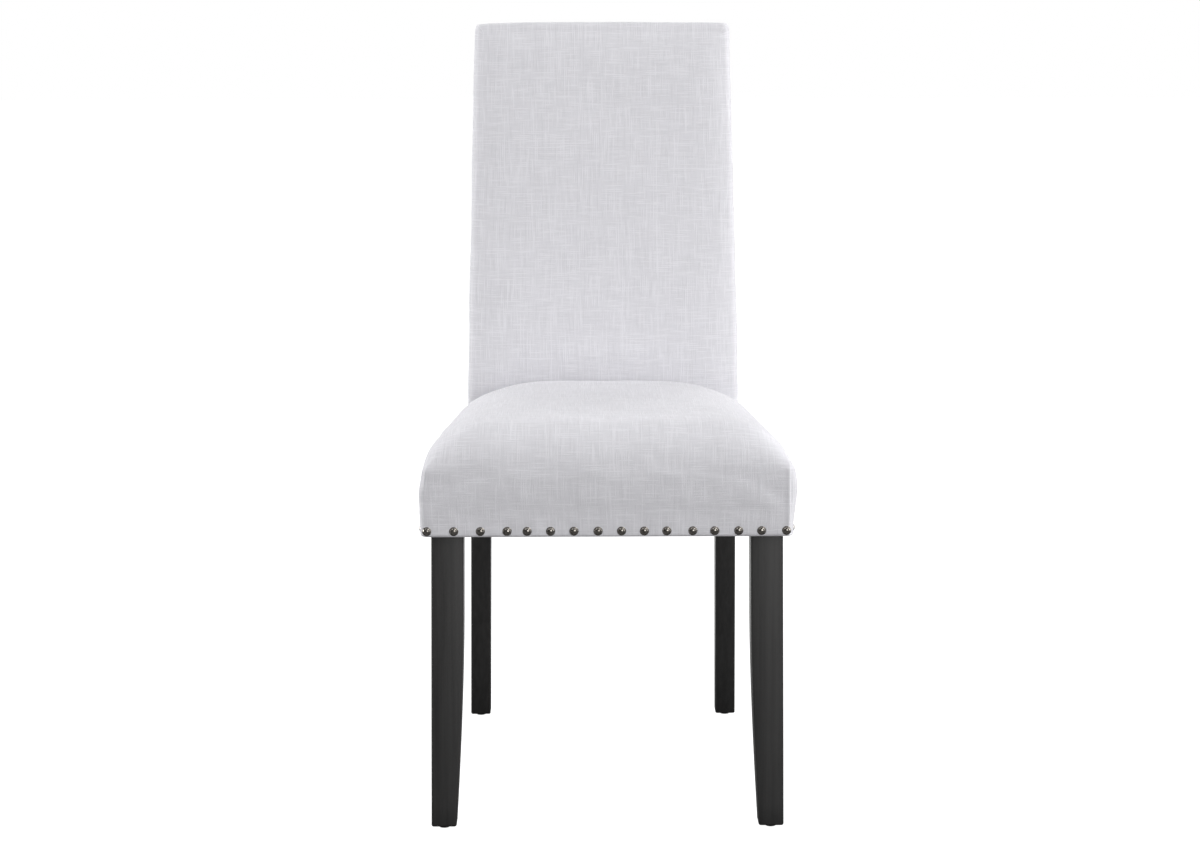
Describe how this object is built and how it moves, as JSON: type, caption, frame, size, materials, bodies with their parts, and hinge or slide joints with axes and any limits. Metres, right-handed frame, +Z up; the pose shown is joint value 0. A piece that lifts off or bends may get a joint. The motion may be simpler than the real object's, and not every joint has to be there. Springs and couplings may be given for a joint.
{
  "type": "parsons chair",
  "caption": "Armless dining chair with a crowned cloth seat box, a high reclined cloth back, dark domed nails along the seat's lower edge and tapered black wooden legs.",
  "frame": {"origin": "on the floor, under the middle of the chair", "axes": "+Z up, +Y from the front of the seat towards the back, +X to the right as seen from the front"},
  "size_m": [0.4628, 0.6248, 0.99],
  "materials": {
    "cloth": "linen-look plain weave with slubs",
    "black_wood": "satin black stain, faint grain",
    "bare_wood": "bare hardwood",
    "plywood": "bare plywood",
    "foam": "cut polyurethane foam",
    "wadding": "polyester wadding",
    "dark_cloth": "thin non-woven cloth",
    "gunmetal": "polished black nickel",
    "steel": "zinc plated",
    "glide": "moulded"
  },
  "bodies": {
    "root": {"front_leg_left": "black_wood", "front_leg_right": "black_wood", "rear_post_left": "black_wood", "rear_post_right": "black_wood", "seat_front_rail": "bare_wood", "seat_rear_rail": "bare_wood", "seat_side_rail_left": "bare_wood", "seat_side_rail_right": "bare_wood", "corner_block_front_left": "bare_wood", "corner_block_front_right": "bare_wood", "corner_block_rear_left": "bare_wood", "corner_block_rear_right": "bare_wood", "back_lower_rail": "bare_wood", "back_seat_rail": "bare_wood", "back_middle_rail": "bare_wood", "back_top_rail": "bare_wood", "seat_deck": "plywood", "back_board": "plywood", "seat_foam": "foam", "back_foam": "foam", "back_rear_wadding": "wadding", "seat_cover": "cloth", "back_cover": "cloth", "back_rear_panel": "cloth", "dust_cover": "dark_cloth", "seat_nail_01": "gunmetal", "seat_nail_02": "gunmetal", "seat_nail_03": "gunmetal", "seat_nail_04": "gunmetal", "seat_nail_05": "gunmetal", "seat_nail_06": "gunmetal", "seat_nail_07": "gunmetal", "seat_nail_08": "gunmetal", "seat_nail_09": "gunmetal", "seat_nail_10": "gunmetal", "seat_nail_11": "gunmetal", "seat_nail_12": "gunmetal", "seat_nail_13": "gunmetal", "seat_nail_14": "gunmetal", "seat_nail_15": "gunmetal", "seat_nail_16": "gunmetal", "leg_bolt_left": "steel", "leg_bolt_right": "steel", "leg_washer_left": "steel", "leg_washer_right": "steel", "leg_nut_left": "steel", "leg_nut_right": "steel", "seat_bolt_left_lower": "steel", "seat_bolt_left_upper": "steel", "seat_bolt_right_lower": "steel", "seat_bolt_right_upper": "steel", "seat_washer_left_lower": "steel", "seat_washer_left_upper": "steel", "seat_washer_right_lower": "steel", "seat_washer_right_upper": "steel", "glide_front_left": "glide", "glide_front_right": "glide", "glide_rear_left": "glide", "glide_rear_right": "glide"}
  },
  "joints": []
}
